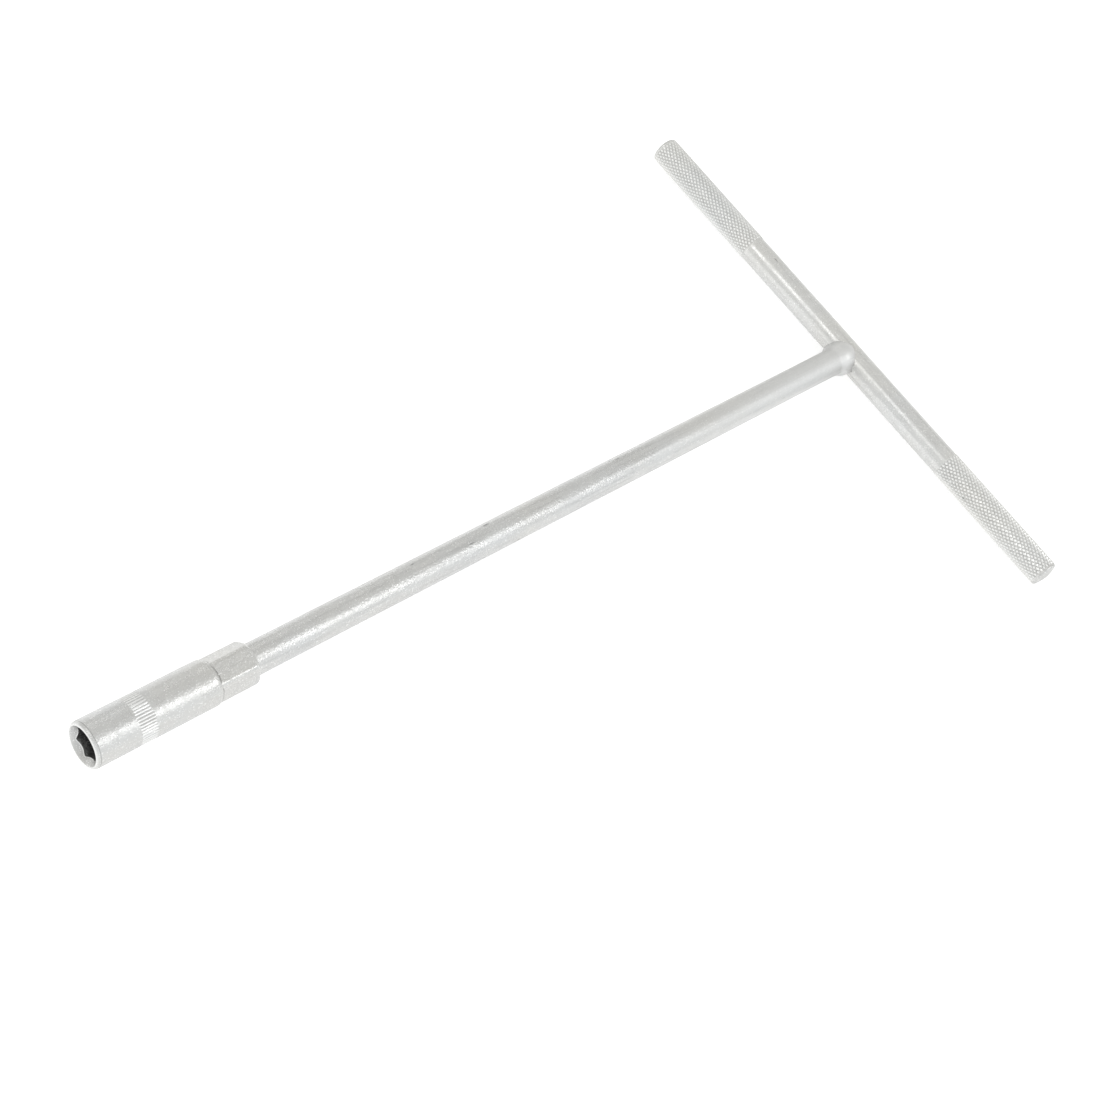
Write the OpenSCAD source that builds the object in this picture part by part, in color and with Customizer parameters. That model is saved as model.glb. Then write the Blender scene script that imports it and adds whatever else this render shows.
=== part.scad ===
// T-handle hexagon socket wrench: a socket with a hexagon collar, a round shaft
// whose end is upset into a ball against the crossbar, and a knurled crossbar.
// The shaft lies along +X, the crossbar along Y, and +Z is up.
// The origin is the centre of the socket's mouth, on the shaft's axis.

/* [Drive hexagon] */
// Size across the flats of the hexagon hole, a loose fit on an 8 mm nut
hex_af = 8.1; // [6:0.1:8.4]
// Depth of the hexagon hole from the mouth
hex_depth = 14; // [8:1:20]
// Angle of a hexagon corner from +Z, about the shaft's axis
hex_turn = 50; // [0:1:59]
// Radius of the countersink at the mouth
mouth_r = 5.6; // [5.4:0.1:6.2]
// Radius of the round bore behind the hexagon, which clears the end of a stud
stud_bore_r = 3.6; // [2:0.1:3.8]
// Depth of the round bore from the mouth
stud_bore_depth = 32; // [22:1:33]

/* [Socket barrel] */
// Diameter of the barrel
barrel_d = 12.9; // [12.6:0.1:14]
// Length of the barrel up to the shoulder
barrel_len = 36.3; // [35:0.1:40]
// Length of the rounded lip at the mouth
lip_len = 1.3; // [0.3:0.1:2]
// Where the band of straight serrations starts
band_start = 12.6; // [5:0.1:20]
// Width of the band
band_w = 5.3; // [3:0.1:8]
// Number of serrations round the band
band_teeth = 48; // [24:1:60]
// Depth of each serration
band_depth = 0.2; // [0.1:0.05:0.25]

/* [Hexagon collar] */
// Size across the flats of the collar, for a spanner
collar_af = 11.1; // [10.8:0.1:11.6]
// Diameter over the collar's rounded corners
collar_corner_d = 12.3; // [12.1:0.1:12.5]
// Distance from the mouth to the collar's rear face
collar_end = 49.5; // [45:0.1:60]
// Radius of the rounded shoulder between barrel and collar
shoulder_round = 2; // [1:0.1:3]
// Radius of the rounding at the collar's rear end
collar_round = 1.1; // [0.8:0.1:1.6]
// Angle of a collar flat from +Z, about the shaft's axis
collar_turn = 13; // [0:1:59]

/* [Shaft] */
// Diameter of the shaft
shaft_d = 9; // [8:0.1:9.4]
// Length of the shaft held in the socket
shaft_seat = 14; // [8:1:14]
// Distance from the socket's mouth to the crossbar's axis
reach = 297.2; // [150:0.1:400]
// Diameter of the ball at the shaft's end
head_d = 11.5; // [10.5:0.1:12.5]
// Distance from the ball's centre to the crossbar's axis
head_back = 4.6; // [4.2:0.1:5.2]

/* [Crossbar] */
// Length of the crossbar
bar_len = 195; // [140:1:260]
// Diameter of the plain middle
bar_d = 9.3; // [9:0.1:9.3]
// Diameter over the knurl of the grips
grip_d = 9.65; // [9.5:0.05:9.9]
// Length of each knurled grip, chamfer included
grip_len = 48.7; // [20:0.1:60]
// Chamfer at each end of the crossbar
end_chamfer = 1; // [0.3:0.1:1.5]

/* [Hidden] */
$fn = 96;
cut = 0.5;
// Width of the flat edge left round the mouth, and how far the lip is eased
lip_edge = 0.05;
lip_ease = 0.2;
barrel_r = barrel_d / 2;
shaft_r = shaft_d / 2;
bar_r = bar_d / 2;
grip_r = grip_d / 2;
collar_corner_r = collar_corner_d / 2;
collar_flat_r = collar_af / 2;
hex_flat_r = hex_af / 2;
// The countersink is a 45 degree cone that dies out on the hexagon's flats
sink_depth = mouth_r - hex_flat_r;
// Both roundings just reach the middle of each flat
shoulder_len = arc_reach(shoulder_round, barrel_r - collar_flat_r);
collar_round_len = arc_reach(collar_round, collar_corner_r - collar_flat_r);
seat_start = collar_end - shaft_seat;

// How far along an arc of radius r runs while it drops by a depth
function arc_reach(r, drop) = sqrt(r * r - (r - drop) * (r - drop));

// Turns a shape drawn along +Z so that it lies along +X
module along_x() {
    rotate([0, 90, 0]) children();
}

// Turns a shape drawn along +Z so that it lies along +Y
module along_y() {
    rotate([-90, 0, 0]) children();
}

// A hexagon prism along +X from x0 to x1, with a corner at the given angle from +Z
module hex_prism(flat_r, x0, x1, corner_turn) {
    rotate([corner_turn, 0, 0])
        translate([x0, 0, 0])
            along_x()
                cylinder(r = flat_r / cos(30), h = x1 - x0, $fn = 6);
}

// A round bar along +X from x0 to x1
module bar_x(r, x0, x1) {
    translate([x0, 0, 0]) along_x() cylinder(r = r, h = x1 - x0);
}

// Half the outline of a round bar whose far end is rounded: the arc starts at
// straight_len and stops round_len further on
module rounded_outline(r, round_r, straight_len, round_len) {
    square([r, straight_len]);
    translate([0, straight_len - cut]) square([r - round_r, round_len + cut]);
    intersection() {
        translate([r - round_r, straight_len]) circle(r = round_r);
        translate([0, straight_len - cut]) square([r, round_len + cut]);
    }
}

// The barrel, with its eased lip and the rounded shoulder that runs down to the collar
module barrel() {
    along_x() rotate_extrude() difference() {
        rounded_outline(barrel_r, shoulder_round, barrel_len, shoulder_len);
        polygon([
            [mouth_r + lip_edge, -cut],
            [mouth_r + lip_edge, 0],
            [barrel_r - lip_ease, lip_len * 0.4],
            [barrel_r, lip_len],
            [barrel_r + cut, lip_len],
            [barrel_r + cut, -cut],
        ]);
    }
}

// The collar: a hexagon with turned corners and a rounded rear end
module collar() {
    intersection() {
        hex_prism(collar_flat_r, barrel_len - cut, collar_end, collar_turn + 30);
        along_x() rotate_extrude()
            rounded_outline(collar_corner_r, collar_round, collar_end - collar_round_len,
                            collar_round_len);
    }
}

// One V-shaped serration of the band, at +Z
module serration() {
    translate([band_start, 0, barrel_r])
        rotate([45, 0, 0])
            translate([0, -band_depth / sqrt(2), -band_depth / sqrt(2)])
                cube([band_w, band_depth * sqrt(2), band_depth * sqrt(2)]);
}

module socket() {
    color("silver") difference() {
        union() {
            barrel();
            collar();
        }
        // Countersink at the mouth
        along_x() cylinder(r1 = mouth_r, r2 = mouth_r - sink_depth, h = sink_depth);
        // Drive hexagon, and the stud's bore behind it
        hex_prism(hex_flat_r, -cut, hex_depth, hex_turn);
        bar_x(stud_bore_r, hex_depth - cut, stud_bore_depth);
        // Seat for the shaft
        bar_x(shaft_r, seat_start, collar_end + cut);
        for (i = [0 : band_teeth - 1])
            rotate([i * 360 / band_teeth, 0, 0]) serration();
    }
}

// Half the outline of the shaft and its ball, from the seat to the ball's end
module shaft_outline() {
    intersection() {
        union() {
            translate([0, seat_start]) square([shaft_r, reach - seat_start]);
            translate([0, reach - head_back]) circle(r = head_d / 2);
        }
        translate([0, seat_start]) square([head_d, reach + head_d - seat_start]);
    }
}

module shaft() {
    color("lightgray") difference() {
        along_x() rotate_extrude() shaft_outline();
        // The saddle where the crossbar lies
        translate([reach, -head_d, 0]) along_y() cylinder(r = bar_r, h = 2 * head_d);
    }
}

module crossbar() {
    color("gainsboro") translate([reach, -bar_len / 2, 0]) along_y() rotate_extrude() polygon([
        [0, 0],
        [grip_r - end_chamfer, 0],
        [grip_r, end_chamfer],
        [grip_r, grip_len],
        [bar_r, grip_len],
        [bar_r, bar_len - grip_len],
        [grip_r, bar_len - grip_len],
        [grip_r, bar_len - end_chamfer],
        [grip_r - end_chamfer, bar_len],
        [0, bar_len],
    ]);
}

socket();
shaft();
crossbar();
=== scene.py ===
# A chrome-plated T-handle hexagon socket wrench, lying on a pale floor.
# The shaft runs along +X from the socket's mouth at the origin, the crossbar along Y, and +Z is up.
# A ring is a pair (x, r): how far along the bar's axis each of its points is, and how far from it.
import math

import bmesh
import bpy
import numpy as np
from mathutils import Matrix, Vector


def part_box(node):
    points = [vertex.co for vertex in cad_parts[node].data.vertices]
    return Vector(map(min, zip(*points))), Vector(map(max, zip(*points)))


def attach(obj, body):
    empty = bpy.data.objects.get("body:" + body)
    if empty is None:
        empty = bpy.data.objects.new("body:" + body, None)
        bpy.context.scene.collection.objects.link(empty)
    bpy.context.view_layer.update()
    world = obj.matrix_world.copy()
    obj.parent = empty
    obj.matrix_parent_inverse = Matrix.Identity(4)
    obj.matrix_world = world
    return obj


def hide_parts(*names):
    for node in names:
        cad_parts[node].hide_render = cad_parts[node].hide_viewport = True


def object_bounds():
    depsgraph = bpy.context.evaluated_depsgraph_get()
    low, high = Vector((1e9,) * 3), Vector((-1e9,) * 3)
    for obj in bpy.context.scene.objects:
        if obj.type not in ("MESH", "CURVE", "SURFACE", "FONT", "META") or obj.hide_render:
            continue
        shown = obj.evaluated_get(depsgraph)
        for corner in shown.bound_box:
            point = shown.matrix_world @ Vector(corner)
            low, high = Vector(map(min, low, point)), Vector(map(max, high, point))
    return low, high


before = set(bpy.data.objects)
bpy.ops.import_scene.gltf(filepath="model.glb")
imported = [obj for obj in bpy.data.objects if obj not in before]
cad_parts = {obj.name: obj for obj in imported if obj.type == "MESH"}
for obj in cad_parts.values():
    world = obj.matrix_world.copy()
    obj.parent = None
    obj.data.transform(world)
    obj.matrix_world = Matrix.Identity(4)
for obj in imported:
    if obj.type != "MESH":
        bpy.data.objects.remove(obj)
cad_box = [list(corner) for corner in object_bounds()]
MM = 0.001

# ---------------------------------------------------------------- sizes, in metres
socket_lo, socket_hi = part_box("socket")
shaft_lo, shaft_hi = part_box("shaft")
bar_lo, bar_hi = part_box("crossbar")

BARREL_R = (socket_hi.z - socket_lo.z) / 2
COLLAR_END = socket_hi.x
REACH = (bar_lo.x + bar_hi.x) / 2
HALF_BAR = (bar_hi.y - bar_lo.y) / 2
GRIP_R = (bar_hi.z - bar_lo.z) / 2
BALL_R = (shaft_hi.z - shaft_lo.z) / 2
SHAFT_START = shaft_lo.x

# How far small edges are eased, and over what length a hexagon's corner is rounded
EDGE = 0.05 * MM
CORNER_BLEND = 0.12 * MM

# Socket. HEX_TURN is the angle of a corner of the hole, COLLAR_TURN that of a flat of the collar
MOUTH_R = 5.6 * MM
LIP_LEN = 1.3 * MM
BARREL_LEN = 36.3 * MM
SHOULDER_ROUND = 2 * MM
BAND_START = 12.6 * MM
BAND_W = 5.3 * MM
BAND_TEETH = 48
BAND_DEPTH = 0.2 * MM
HEX_FLAT_R = 4.05 * MM
HEX_CORNER_R = 4.56 * MM
HEX_DEPTH = 14 * MM
HEX_TURN = 50
STUD_BORE_R = 3.6 * MM
STUD_BORE_DEPTH = 32 * MM
COLLAR_FLAT_R = 5.55 * MM
COLLAR_CORNER_R = 6.15 * MM
COLLAR_ROUND = 1.1 * MM
COLLAR_TURN = 13

# Shaft and its ball
SHAFT_R = 4.5 * MM
BALL_BACK = 4.6 * MM
FLASH_LEN = 30 * MM
FLASH_HEIGHT = 0.22 * MM
FLASH_WIDTH = 0.3 * MM
BALL_FLASH_HEIGHT = 0.2 * MM
BALL_FLASH_WIDTH = 0.65 * MM
HEAD_LEN = 13 * MM
HEAD_LIP = 0.26 * MM

# Crossbar
BAR_R = 4.65 * MM
GRIP_LEN = 48.7 * MM
END_ROUND = 1.4 * MM
END_DOME = 0.6 * MM
KNURL_STARTS = 24
KNURL_STEPS = 12
KNURL_PITCH = 2.06 * MM
KNURL_DEPTH = 0.29 * MM
KNURL_SUNK = 0.14 * MM


# ---------------------------------------------------------------- meshes of rings
# Points round each ring of the socket and the shaft
ROUND_STEPS = 720


def mesh_from_rings(name, rings, turns, place, relief, diagonal=None):
    """A closed mesh through rings of points about an axis. Each ring is (x, r), numbers or one value
    a turn; place(x, r, turn) gives the points. The first and last ring close on the axis. Relief is
    kept as an attribute of the points. Where diagonal gives a ring's row in the knurl, the faces
    after it are split into triangles along the grooves."""
    count = len(turns)
    points = []
    for x, r in rings:
        points.append(place(np.broadcast_to(x, count), np.broadcast_to(r, count), turns))
    first = place(np.array([np.mean(rings[0][0])]), np.zeros(1), turns[:1])
    last = place(np.array([np.mean(rings[-1][0])]), np.zeros(1), turns[:1])
    verts = np.concatenate(points + [first, last])
    start, end = len(verts) - 2, len(verts) - 1
    faces = []
    here = np.arange(count)
    after = (here + 1) % count
    for row in range(len(rings) - 1):
        a, b = row * count + here, row * count + after
        d, c = a + count, b + count
        if diagonal is None or not diagonal[row]:
            faces += np.stack([a, b, c, d], 1).tolist()
            continue
        for i in range(count):
            if (i + diagonal[row] + 1) % KNURL_STEPS == 0:
                faces += [(a[i], b[i], d[i]), (b[i], c[i], d[i])]
            else:
                faces += [(a[i], b[i], c[i]), (a[i], c[i], d[i])]
    faces += [(start, int(j), int(i)) for i, j in zip(here, after)]
    base = (len(rings) - 1) * count
    faces += [(end, int(base + i), int(base + j)) for i, j in zip(here, after)]
    mesh = bpy.data.meshes.new(name)
    mesh.from_pydata(verts.tolist(), [], faces)
    values = [np.broadcast_to(value, count) for value in relief]
    flat = np.concatenate(values + [values[0][:1], values[-1][:1]])
    mesh.attributes.new("relief", "FLOAT", "POINT").data.foreach_set("value", flat)
    piece = bpy.data.objects.new(name, mesh)
    bpy.context.scene.collection.objects.link(piece)
    return piece


def smooth_faces(piece, sharp_degrees):
    """Outward normals, smooth faces, and sharp edges where two faces meet at more than that angle."""
    work = bmesh.new()
    work.from_mesh(piece.data)
    bmesh.ops.recalc_face_normals(work, faces=work.faces)
    for face in work.faces:
        face.smooth = True
    for edge in work.edges:
        edge.smooth = edge.calc_face_angle(0) < math.radians(sharp_degrees)
    work.to_mesh(piece.data)
    work.free()


def full_turn(steps):
    """The angles of that many equal steps round a circle."""
    return np.arange(steps) * math.tau / steps


def about_x(x, r, turn):
    """Points about the shaft's axis; the turn is measured from +Z towards -Y."""
    return np.stack([x, -r * np.sin(turn), r * np.cos(turn)], 1)


def about_bar(y, r, turn):
    """Points about the crossbar's axis; the turn is measured from +Z towards +X."""
    return np.stack([REACH + r * np.sin(turn), y, r * np.cos(turn)], 1)


def soft_min(a, b, blend):
    """The smaller of a and b, with the corner between them rounded over the blend."""
    h = np.clip(0.5 + 0.5 * (b - a) / blend, 0, 1)
    return b * (1 - h) + a * h - blend * h * (1 - h)


def soft_max(a, b, blend):
    """The larger of a and b, rounded in the same way."""
    return -soft_min(-a, -b, blend)


def hexagon(turns, flat_r, corner_r, flat_turn, blend):
    """The radius of a hexagon at each turn, with corners turned down to corner_r."""
    third = math.pi / 3
    off = (turns - math.radians(flat_turn) + third / 2) % third - third / 2
    return soft_min(flat_r / np.cos(off), corner_r, blend)


def wave(turn):
    """A triangle wave of period 1: 1 at whole numbers, 0 halfway between them."""
    return np.abs((turn % 1) * 2 - 1)


def ease(t):
    """0 below 0, 1 above 1, and a smooth S between."""
    t = np.clip(t, 0, 1)
    return t * t * (3 - 2 * t)


# ---------------------------------------------------------------- socket
# Degrees along the lip's quarter round, with the relief there: a painted highlight at the crest, then a
# thin painted dark reflection
LIP_RELIEF = ((15, 0.9), (30, 0.75), (45, 0.6), (58, 0.5), (68, 0.5), (76, 0.22), (84, 0.5))


def socket_rings(turns):
    """The rings of the socket and their relief: 0 in the bores, for painted shade, 1 on edges, for a
    painted highlight, 0.5 elsewhere.
    """
    hole = hexagon(turns, HEX_FLAT_R, HEX_CORNER_R, HEX_TURN + 30, CORNER_BLEND)
    collar = hexagon(turns, COLLAR_FLAT_R, COLLAR_CORNER_R, COLLAR_TURN, CORNER_BLEND)
    sink = MOUTH_R - hole
    rings, relief = [], []

    def add(x, r, value):
        rings.append((x, r))
        relief.append(value)

    # Stud bore with its drill point, then the hexagon hole up to the countersink, in painted shade
    add(STUD_BORE_DEPTH + 1.4 * MM, EDGE, 0)
    add(STUD_BORE_DEPTH, STUD_BORE_R, 0)
    add(HEX_DEPTH + EDGE, STUD_BORE_R, 0)
    add(HEX_DEPTH, STUD_BORE_R + EDGE, 0)
    add(HEX_DEPTH, hole - EDGE, 0)
    for depth in np.linspace(0, 1, 9):
        add(HEX_DEPTH + (sink + 0.12 * MM - HEX_DEPTH) * depth, hole, 0.25 * depth**6)
    # The edge between hexagon and countersink, slightly rounded, with a painted highlight; the countersink
    # beyond it takes a little painted shade
    add(sink + 0.03 * MM, hole + 0.02 * MM, 0.6)
    add(sink - EDGE, hole + 0.07 * MM, 0.9)
    for t in (0.12, 0.3, 0.5, 0.7, 0.88):
        add(sink * (1 - t), hole + (MOUTH_R - hole) * t, 0.33 + 0.1 * t)
    # The rim and the rounded lip, with a painted highlight on the rim
    crest = MOUTH_R + EDGE
    add(0.06 * MM, MOUTH_R - EDGE, 0.7)
    add(0.012 * MM, MOUTH_R - 0.01 * MM, 1)
    add(0, crest, 1)
    for degrees, value in LIP_RELIEF:
        angle = math.radians(degrees)
        add(LIP_LEN * (1 - math.cos(angle)), crest + (BARREL_R - crest) * math.sin(angle), value)
    add(LIP_LEN, BARREL_R, 0.5)
    # The barrel up to the band, the band's grooves, and the barrel behind it
    for x in np.linspace(LIP_LEN, BAND_START - 0.3 * MM, 12)[1:]:
        add(x, BARREL_R, 0.5)
    groove = wave(turns * BAND_TEETH / math.tau) ** 1.4
    for t in np.linspace(0, 1, 45):
        run_out = min(ease(t * 9), ease((1 - t) * 9))
        # Painted highlight on the band's crests and painted shade in its grooves
        painted_shine_and_shade = 0.5 + 0.5 * run_out * (1 - 1.3 * groove)
        add(BAND_START + BAND_W * t, BARREL_R - BAND_DEPTH * run_out * groove, painted_shine_and_shade)
    for x in np.linspace(BAND_START + BAND_W + 0.3 * MM, BARREL_LEN - 0.2 * MM, 16):
        add(x, BARREL_R, 0.5)
    # The rounded shoulder, down to the collar's flats, with painted shade in the crease at its foot
    for t in (0, 0.04, 0.15, 0.35, 0.6, 0.85, 1):
        drop = (BARREL_R - collar) * t
        painted_crease_shade = 0.35 * t**4 * ease(drop / (0.6 * MM))
        along = np.sqrt(SHOULDER_ROUND**2 - (SHOULDER_ROUND - drop) ** 2)
        add(BARREL_LEN + along, BARREL_R - drop, 0.55 - painted_crease_shade)
    shoulder_end = rings[-1][0]
    # The collar, and its rounded rear end with a painted highlight
    centre_r = COLLAR_CORNER_R - COLLAR_ROUND
    round_len = math.sqrt(COLLAR_ROUND**2 - (COLLAR_FLAT_R - centre_r) ** 2)
    leave = COLLAR_END - round_len + np.sqrt(np.clip(COLLAR_ROUND**2 - (collar - centre_r) ** 2, 0, None))
    leave = np.minimum(leave, COLLAR_END - 0.12 * MM)
    for t in (0.03, 0.1, 0.25, 0.5, 0.75, 0.9, 1):
        add(shoulder_end + (leave - shoulder_end) * t, collar, 0.5)
    for t in (0.25, 0.5, 0.75, 1):
        x = leave + (COLLAR_END - 0.06 * MM - leave) * t
        arc = centre_r + np.sqrt(np.clip(COLLAR_ROUND**2 - (x - COLLAR_END + round_len) ** 2, 0, None))
        add(x, np.minimum(arc, collar), 0.7)
    add(COLLAR_END, COLLAR_FLAT_R - 0.12 * MM, 0.8)
    # The rear face and the seat that the shaft goes into, with the edge eased and painted shade in the seat
    add(COLLAR_END, SHAFT_R + 0.34 * MM, 0.5)
    add(COLLAR_END - EDGE, SHAFT_R + 0.22 * MM, 0.4)
    add(COLLAR_END - 0.3 * MM, SHAFT_R + 0.03 * MM, 0.1)
    add(SHAFT_START - 0.02 * MM, SHAFT_R + 0.03 * MM, 0)
    add(SHAFT_START - EDGE, SHAFT_R - EDGE, 0)
    return rings, relief


def make_socket():
    turns = full_turn(ROUND_STEPS)
    rings, relief = socket_rings(turns)
    piece = mesh_from_rings("socket_forging", rings, turns, about_x, relief)
    smooth_faces(piece, 28)
    return piece


# ---------------------------------------------------------------- shaft
def shaft_radius(x, turns):
    """The shaft's radius near its head: the round bar runs into the ball, with a thin line of flash
    down each side where the forging dies met."""
    along = np.clip(x - (REACH - BALL_BACK), -BALL_R * 0.999, BALL_R * 0.999)
    ball = np.sqrt(BALL_R**2 - along**2)
    body = soft_max(np.full_like(turns, SHAFT_R), ball, 0.9 * MM)
    side = np.abs(np.abs((turns + math.pi) % math.tau - math.pi) - math.pi / 2) * body
    grow = ease(1 - (REACH - BALL_BACK - x) / FLASH_LEN)
    at_ball = ease((body - SHAFT_R) / (BALL_R - SHAFT_R))
    height = FLASH_HEIGHT * grow + BALL_FLASH_HEIGHT * at_ball
    width = FLASH_WIDTH + (BALL_FLASH_WIDTH - FLASH_WIDTH) * at_ball
    return body + height * np.exp(-((side / width) ** 2))


def saddle_end(turns, gap):
    """Where along X the head's surface comes within a gap of the crossbar, for each turn, found by
    halving the stretch from before the ball to the crossbar's axis."""
    near = np.full_like(turns, REACH - BAR_R - BALL_BACK)
    far = np.full_like(turns, REACH)
    for _ in range(40):
        middle = (near + far) / 2
        height = shaft_radius(middle, turns) * np.cos(turns)
        outside = (middle - REACH) ** 2 + height**2 > (BAR_R + gap) ** 2
        near, far = np.where(outside, middle, near), np.where(outside, far, middle)
    return near


def saddle_x(r, turns):
    """Where along X the crossbar's surface is, at a radius r from the shaft's axis."""
    return REACH - np.sqrt(np.clip(BAR_R**2 - (r * np.cos(turns)) ** 2, 0, None))


def shaft_rings(turns):
    """The rings of the shaft, from its end in the socket to the saddle on the crossbar."""
    rings, relief = [], []

    def add(x, r, value):
        rings.append((x, r))
        relief.append(value)

    head_start = REACH - HEAD_LEN
    flash_start = REACH - BALL_BACK - FLASH_LEN
    add(SHAFT_START, SHAFT_R - 0.3 * MM, 0.5)
    add(SHAFT_START + 0.3 * MM, SHAFT_R, 0.5)
    for x in np.linspace(SHAFT_START + 2 * MM, flash_start, 90):
        add(x, SHAFT_R, 0.5)
    for x in np.linspace(flash_start, head_start, 30)[1:]:
        add(x, shaft_radius(np.full_like(turns, x), turns), 0.5)
    # The ball, up to the lip that curls in against the crossbar
    rim = saddle_end(turns, HEAD_LIP)
    for t in np.linspace(0, 1, 60)[1:]:
        x = head_start + (rim - head_start) * t
        add(x, shaft_radius(x, turns), 0.5)
    rim_r = shaft_radius(rim, turns)
    foot_r = rim_r - 1.3 * HEAD_LIP
    foot = saddle_x(foot_r, turns)
    # Painted shade deepens into the crevice between the lip and the crossbar
    for t in (0.2, 0.4, 0.6, 0.8, 1):
        x = rim + (foot - rim) * (1 - (1 - t) ** 2)
        add(x, rim_r + (foot_r - rim_r) * t**2, 0.5 * (1 - t))
    for t in (0.75, 0.5, 0.25, 0.02):
        add(saddle_x(foot_r * t, turns), foot_r * t, 0)
    return rings, relief


def make_shaft():
    turns = full_turn(ROUND_STEPS)
    rings, relief = shaft_rings(turns)
    piece = mesh_from_rings("shaft_bar", rings, turns, about_x, relief)
    smooth_faces(piece, 40)
    return piece


# ---------------------------------------------------------------- crossbar
def knurl_height(turns, row):
    """The diamond knurl's height, 0 in the grooves to 1 on the tips. Two sets of V grooves wind round
    the bar in opposite directions, and a groove always runs through mesh points."""
    step = np.arange(len(turns))
    left = 1 - wave((step + row) / KNURL_STEPS + 0.5)
    right = 1 - wave((step - row) / KNURL_STEPS + 0.5)
    return np.minimum(1, 1.25 * (1 - np.maximum(left, right)))


def bar_rings(turns):
    """The rings of the crossbar from +Y to -Y, with their relief and, in the knurl, their row."""
    rings, relief, diagonal = [], [], []

    def add(y, r, value, row=None):
        rings.append((y, r))
        relief.append(value)
        diagonal.append(row)

    row_len = KNURL_PITCH / KNURL_STEPS
    knurl_rows = int((GRIP_LEN - END_ROUND) / row_len)
    valley_r = GRIP_R - KNURL_DEPTH
    half = []
    # From the end's centre outward: a slightly domed face and a rounded edge, both in painted shade
    face_r = GRIP_R - END_ROUND
    for t in (0.05, 0.3, 0.6, 0.85):
        half.append((HALF_BAR - END_DOME * t * t, face_r * t, 0.28, None))
    for t in np.linspace(0, 1, 11):
        angle = t * math.pi / 2
        edge = HALF_BAR - END_DOME - (END_ROUND - END_DOME) * (1 - math.cos(angle))
        half.append((edge, face_r + (END_ROUND - KNURL_SUNK) * math.sin(angle), 0.33, None))
    # The knurl, whose grooves run out over four rows at the end and two at the plain middle.
    # Its tips take painted highlights and its grooves painted shade
    for row in range(1, knurl_rows + 1):
        y = HALF_BAR - END_ROUND - row * row_len
        fade = min(ease(row / 4), ease((knurl_rows - row) / 2))
        height = knurl_height(turns, row)
        cut = valley_r + KNURL_DEPTH * height
        plain = BAR_R if row > knurl_rows / 2 else GRIP_R - KNURL_SUNK
        half.append((y, plain + (cut - plain) * fade, 0.5 + (0.62 * height - 0.18) * fade, row))
    for ring in half:
        add(*ring)
    inner = HALF_BAR - END_ROUND - (knurl_rows + 1) * row_len
    for y in np.linspace(inner, -inner, 90):
        add(y, BAR_R, 0.5)
    # The other grip is a mirror image, so its rows count the other way
    for y, r, value, row in reversed(half):
        add(-y, r, value, row and -row)
    return rings, relief, diagonal


def make_crossbar():
    turns = full_turn(KNURL_STARTS * KNURL_STEPS)
    rings, relief, diagonal = bar_rings(turns)
    piece = mesh_from_rings("cross_bar", rings, turns, about_bar, relief, diagonal)
    smooth_faces(piece, 24)
    return piece


# ---------------------------------------------------------------- materials
# Scales that draw a texture out along a bar's axis, and the plating's two base colours
ALONG_X = (0.04, 1, 1)
ALONG_Y = (1, 0.04, 1)
STEEL = (0.57, 0.57, 0.568)
BRIGHT = (0.635, 0.635, 0.63)


def scaled(colour, factor):
    """The colour made brighter or darker, at most white."""
    return tuple(min(1, c * factor) for c in colour)


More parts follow.
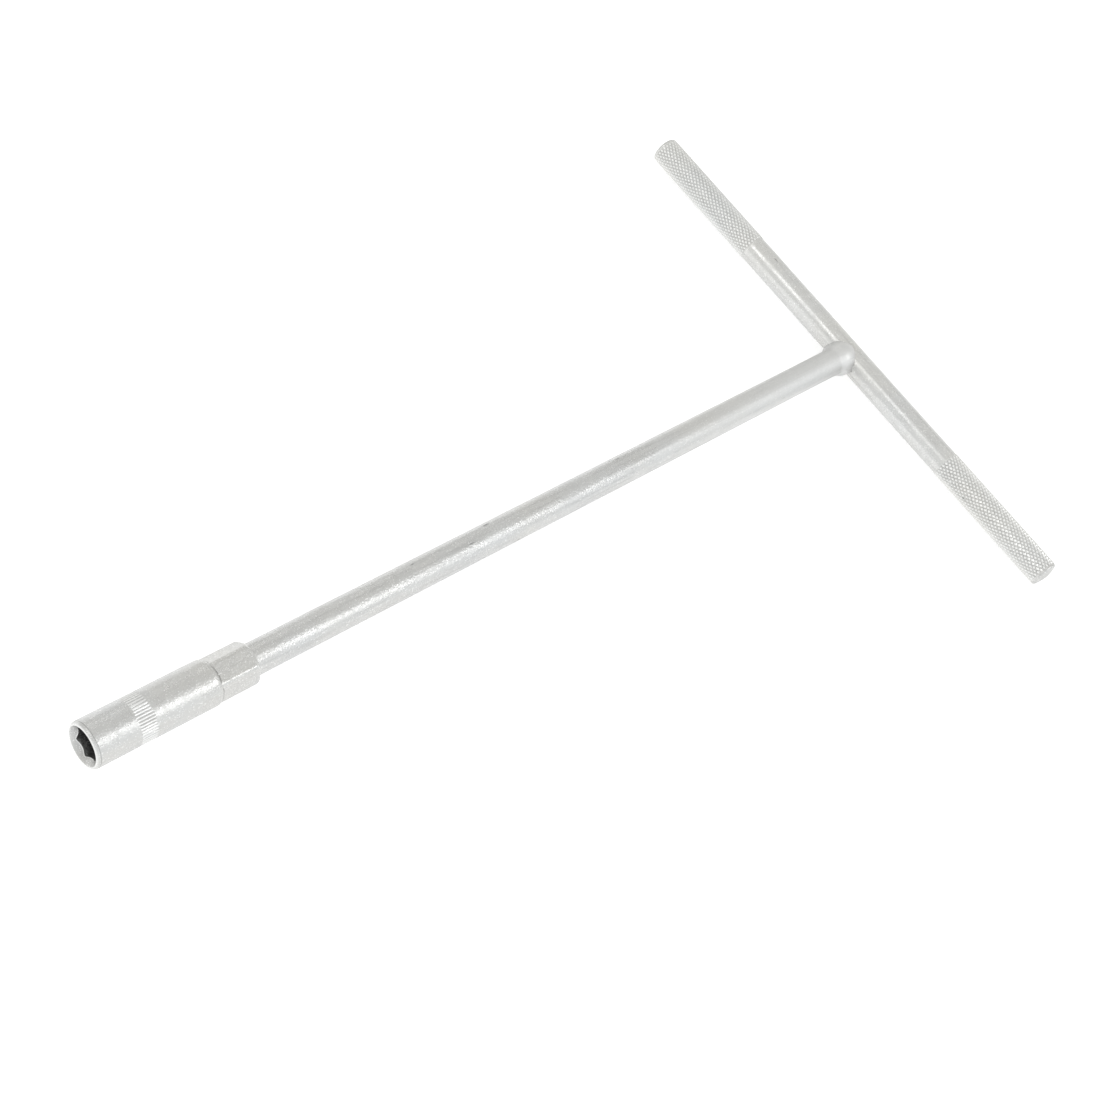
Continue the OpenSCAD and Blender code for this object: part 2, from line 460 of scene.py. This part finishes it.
def plating(name, colour, rough, grain_mm, grain_depth_mm, along, streak, pit_level, dark, head_forging_and_painted_light=0):
    """Satin plating on steel: fine grain in the bump, drifting tint and roughness, faint drawing marks
    and a few dark pits that run along the bar's axis, painted shade on duller steel where relief falls
    to 0, painted highlights where relief rises to 1, and painted glints in the grain. A lower pit_level
    gives more pits, and dark is how bright the painted shade stays. With forged at 1, the end at the
    crossbar is duller, with little grain, and its colour is painted lighter."""
    mat = bpy.data.materials.new(name)
    mat.use_nodes = True
    nodes, links = mat.node_tree.nodes, mat.node_tree.links
    shader = nodes["Principled BSDF"]
    shader.inputs["Metallic"].default_value = 1

    def node(kind, **settings):
        made = nodes.new(kind)
        for key, value in settings.items():
            setattr(made, key, value)
        return made

    coords = node("ShaderNodeTexCoord").outputs["Object"]

    def noise(size_mm, detail, roughness=0.5, space=None):
        made = node("ShaderNodeTexNoise")
        made.inputs["Scale"].default_value = 1000 / size_mm
        made.inputs["Detail"].default_value = detail
        made.inputs["Roughness"].default_value = roughness
        links.new(space or coords, made.inputs["Vector"])
        return made.outputs["Fac"]

    def remap(value, low, high, out_low, out_high):
        made = node("ShaderNodeMapRange")
        made.inputs["From Min"].default_value = low
        made.inputs["From Max"].default_value = high
        made.inputs["To Min"].default_value = out_low
        made.inputs["To Max"].default_value = out_high
        links.new(value, made.inputs["Value"])
        return made.outputs["Result"]

    def mix(factor, a, b):
        made = node("ShaderNodeMix", data_type="RGBA")
        links.new(factor, made.inputs["Factor"])
        for value, socket in ((a, made.inputs["A"]), (b, made.inputs["B"])):
            if isinstance(value, tuple):
                socket.default_value = (*value, 1)
            else:
                links.new(value, socket)
        return made.outputs["Result"]

    def math_node(operation, a, b):
        made = node("ShaderNodeMath", operation=operation)
        for value, socket in ((a, made.inputs[0]), (b, made.inputs[1])):
            if isinstance(value, (int, float)):
                socket.default_value = value
            else:
                links.new(value, socket)
        return made.outputs["Value"]

    def drawn_out(scale):
        made = node("ShaderNodeVectorMath", operation="MULTIPLY")
        links.new(coords, made.inputs[0])
        made.inputs[1].default_value = scale
        return made.outputs["Vector"]

    def bump(height, depth_mm, below=None, **settings):
        made = node("ShaderNodeBump", **settings)
        made.inputs["Distance"].default_value = depth_mm * MM
        links.new(height, made.inputs["Height"])
        if below is not None:
            links.new(below, made.inputs["Normal"])
        return made.outputs["Normal"]

    relief = node("ShaderNodeAttribute", attribute_name="relief").outputs["Fac"]
    # at_head rises from 0 to 1 along the last stretch of a bar whose head was made by forging
    split = node("ShaderNodeSeparateXYZ")
    links.new(coords, split.inputs["Vector"])
    at_head = remap(split.outputs["X"], REACH - 110 * MM, REACH - 12 * MM, 0, head_forging_and_painted_light)

    # Colour: a tint that drifts between cool and warm, duller clouds, and drawing marks
    cool = tuple(c * k for c, k in zip(colour, (0.985, 0.992, 1)))
    warm = tuple(c * k for c, k in zip(colour, (1, 0.992, 0.972)))
    tint = mix(remap(noise(26, 3), 0.35, 0.65, 0, 1), cool, warm)
    cloudy = mix(remap(noise(3.5, 4), 0.35, 0.75, 0, 0.35), tint, scaled(colour, 0.82))
    marks = noise(0.9, 3, 0.6, drawn_out(along))
    lined = mix(remap(marks, 0.48, 0.66, 0, streak), cloudy, scaled(colour, 0.6))
    # Painted shade darkens grooves, bores and crevices, and painted highlights brighten crests and edges
    painted_shade = mix(remap(relief, 0, 0.45, 1, 0), lined, scaled(colour, dark))
    painted_highlight = mix(remap(relief, 0.55, 1, 0, 0.8), painted_shade, scaled(colour, 1.5))
    # Painted glints: specks of brighter colour at the grain's size
    painted_glint = remap(noise(0.4, 1), 0.6, 0.72, 0, 0.6)
    with_painted_glints = mix(painted_glint, painted_highlight, scaled(colour, 1.5))
    # Sparse pits, drawn out along the bar
    cells = node("ShaderNodeTexVoronoi", feature="F1")
    cells.inputs["Scale"].default_value = 1000 / 2.6
    links.new(drawn_out(tuple(a**0.5 for a in along)), cells.inputs["Vector"])
    spot = remap(cells.outputs["Distance"], 0.04, 0.12, 0.9, 0)
    pit = math_node("MULTIPLY", spot, remap(noise(11, 2), pit_level, pit_level + 0.03, 0, 1))
    pitted = mix(pit, with_painted_glints, scaled(colour, 0.4))
    # Painted light: the colour turns lighter towards the head
    final = mix(remap(at_head, 0, 1, 0, 0.8), pitted, scaled(colour, 1.16))
    links.new(final, shader.inputs["Base Color"])

    # Roughness: drifts over centimetres, speckled at the grain's size, dull in bores, pits and
    # towards a head made by forging
    base_rough = remap(noise(9, 4), 0.3, 0.7, rough * 0.85, rough * 1.2)
    speckle = remap(noise(grain_mm * 1.6, 2), 0.3, 0.7, -0.05, 0.07)
    bore_rough = remap(relief, 0, 0.3, 0.35, 0)
    total = math_node("ADD", math_node("ADD", base_rough, speckle), bore_rough)
    total = math_node("ADD", total, math_node("MULTIPLY", at_head, 0.24))
    links.new(math_node("ADD", total, math_node("MULTIPLY", pit, 0.3)), shader.inputs["Roughness"])

    # Bump: the grain, slow waves, and the pits sunk in
    grain = math_node("MULTIPLY", noise(grain_mm, 3, 0.6), remap(at_head, 0, 1, 1, 0.35))
    waved = bump(noise(6, 2), 0.05, bump(grain, grain_depth_mm))
    links.new(bump(pit, 0.08, waved, invert=True), shader.inputs["Normal"])
    return mat


def floor_material():
    mat = bpy.data.materials.new("pale_floor")
    mat.use_nodes = True
    shader = mat.node_tree.nodes["Principled BSDF"]
    shader.inputs["Base Color"].default_value = (0.8, 0.8, 0.8, 1)
    shader.inputs["Roughness"].default_value = 0.9
    shader.inputs["Specular IOR Level"].default_value = 0.1
    shader.inputs["Emission Color"].default_value = (1, 1, 1, 1)
    shader.inputs["Emission Strength"].default_value = FLOOR_GLOW
    return mat


# ---------------------------------------------------------------- studio
# The surroundings are white, dimmer towards DIM_SIDE. The floor glows a little, so that it shows
# hardly any shadow.
DIM_SIDE = (0.1, 0.85, 0.5)
DIM_SKY = (0.93, 0.93, 0.905, 1)
BRIGHT_SKY = (1.235, 1.26, 1.265, 1)
FLOOR_GLOW = 0.5
HALF_FLOOR = 40
LENS_MM = 64.87
CAMERA_PLACE = (-0.187, -0.1529, 0.4287)
CAMERA_TARGET = (0.1487, -0.0116, 0)
CAMERA_ROLL = 33.1


def make_floor(top):
    mesh = bpy.data.meshes.new("floor")
    corners = [(x * HALF_FLOOR, y * HALF_FLOOR, top) for x, y in ((-1, -1), (1, -1), (1, 1), (-1, 1))]
    mesh.from_pydata(corners, [], [(0, 1, 2, 3)])
    floor = bpy.data.objects.new("floor", mesh)
    bpy.context.scene.collection.objects.link(floor)
    floor.data.materials.append(floor_material())


def look_at(thing, place, target, roll=0):
    """Puts a camera or lamp at a place, facing the target, rolled clockwise as it sees it."""
    forward = (target - place).normalized()
    turn = forward.to_track_quat("-Z", "Y").to_matrix() @ Matrix.Rotation(math.radians(roll), 3, "Z")
    thing.matrix_world = Matrix.Translation(place) @ turn.to_4x4()


def make_lamp(name, place, target, width, height, power):
    """A rectangular lamp that shows only in what the metal reflects."""
    lamp = bpy.data.lights.new(name, "AREA")
    lamp.shape = "RECTANGLE"
    lamp.size, lamp.size_y = width, height
    lamp.energy = power
    holder = bpy.data.objects.new(name, lamp)
    bpy.context.scene.collection.objects.link(holder)
    look_at(holder, Vector(place), Vector(target))
    holder.visible_camera = False
    holder.visible_diffuse = False


def make_world():
    """White surroundings, which fade to the dimmer sky towards DIM_SIDE."""
    world = bpy.data.worlds.new("studio")
    world.use_nodes = True
    nodes, links = world.node_tree.nodes, world.node_tree.links
    away = nodes.new("ShaderNodeVectorMath")
    away.operation = "DOT_PRODUCT"
    away.inputs[1].default_value = DIM_SIDE
    links.new(nodes.new("ShaderNodeTexCoord").outputs["Generated"], away.inputs[0])
    level = nodes.new("ShaderNodeMapRange")
    level.inputs["From Min"].default_value = -0.7
    level.inputs["From Max"].default_value = 0.7
    level.interpolation_type = "SMOOTHSTEP"
    links.new(away.outputs["Value"], level.inputs["Value"])
    sky = nodes.new("ShaderNodeMix")
    sky.data_type = "RGBA"
    links.new(level.outputs["Result"], sky.inputs["Factor"])
    sky.inputs["A"].default_value = BRIGHT_SKY
    sky.inputs["B"].default_value = DIM_SKY
    links.new(sky.outputs["Result"], nodes["Background"].inputs["Color"])
    bpy.context.scene.world = world


def make_camera():
    data = bpy.data.cameras.new("camera")
    data.lens = LENS_MM
    data.sensor_width = 36
    data.clip_start = 0.01
    data.clip_end = 100
    camera = bpy.data.objects.new("camera", data)
    bpy.context.scene.collection.objects.link(camera)
    look_at(camera, Vector(CAMERA_PLACE), Vector(CAMERA_TARGET), CAMERA_ROLL)
    bpy.context.scene.camera = camera


# ---------------------------------------------------------------- assembly
socket = make_socket()
shaft = make_shaft()
crossbar = make_crossbar()

for piece, node_name, slot_name in (
    (socket, "socket", "socket_plating"),
    (shaft, "shaft", "shaft_plating"),
    (crossbar, "crossbar", "crossbar_plating"),
):
    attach(piece, "root")
    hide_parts(node_name)

socket.data.materials.append(plating(
    "socket_satin", STEEL, rough=0.28, grain_mm=0.7, grain_depth_mm=0.12,
    along=ALONG_X, streak=0.1, pit_level=0.75, dark=0.1,
))
shaft.data.materials.append(plating(
    "shaft_satin", STEEL, rough=0.27, grain_mm=0.7, grain_depth_mm=0.155,
    along=ALONG_X, streak=0.3, pit_level=0.46, dark=0.2, head_forging_and_painted_light=1,
))
crossbar.data.materials.append(plating(
    "bar_bright", BRIGHT, rough=0.31, grain_mm=0.6, grain_depth_mm=0.015,
    along=ALONG_Y, streak=0.3, pit_level=0.6, dark=0.45,
))

make_floor(cad_box[0][2])
make_world()
make_lamp("shaft_light", (0.53, -0.54, 0.7), (0.08, 0, 0), width=0.42, height=0.22, power=0.8)
make_lamp("barrel_light", (0.42, 0.68, 0.61), (0.015, 0, 0), width=0.12, height=0.1, power=0.07)
make_lamp("bar_light", (-0.33, 0.34, 0.73), (0.297, 0.05, 0), width=0.34, height=0.3, power=0.42)
make_camera()
bpy.context.scene.view_settings.view_transform = "Standard"
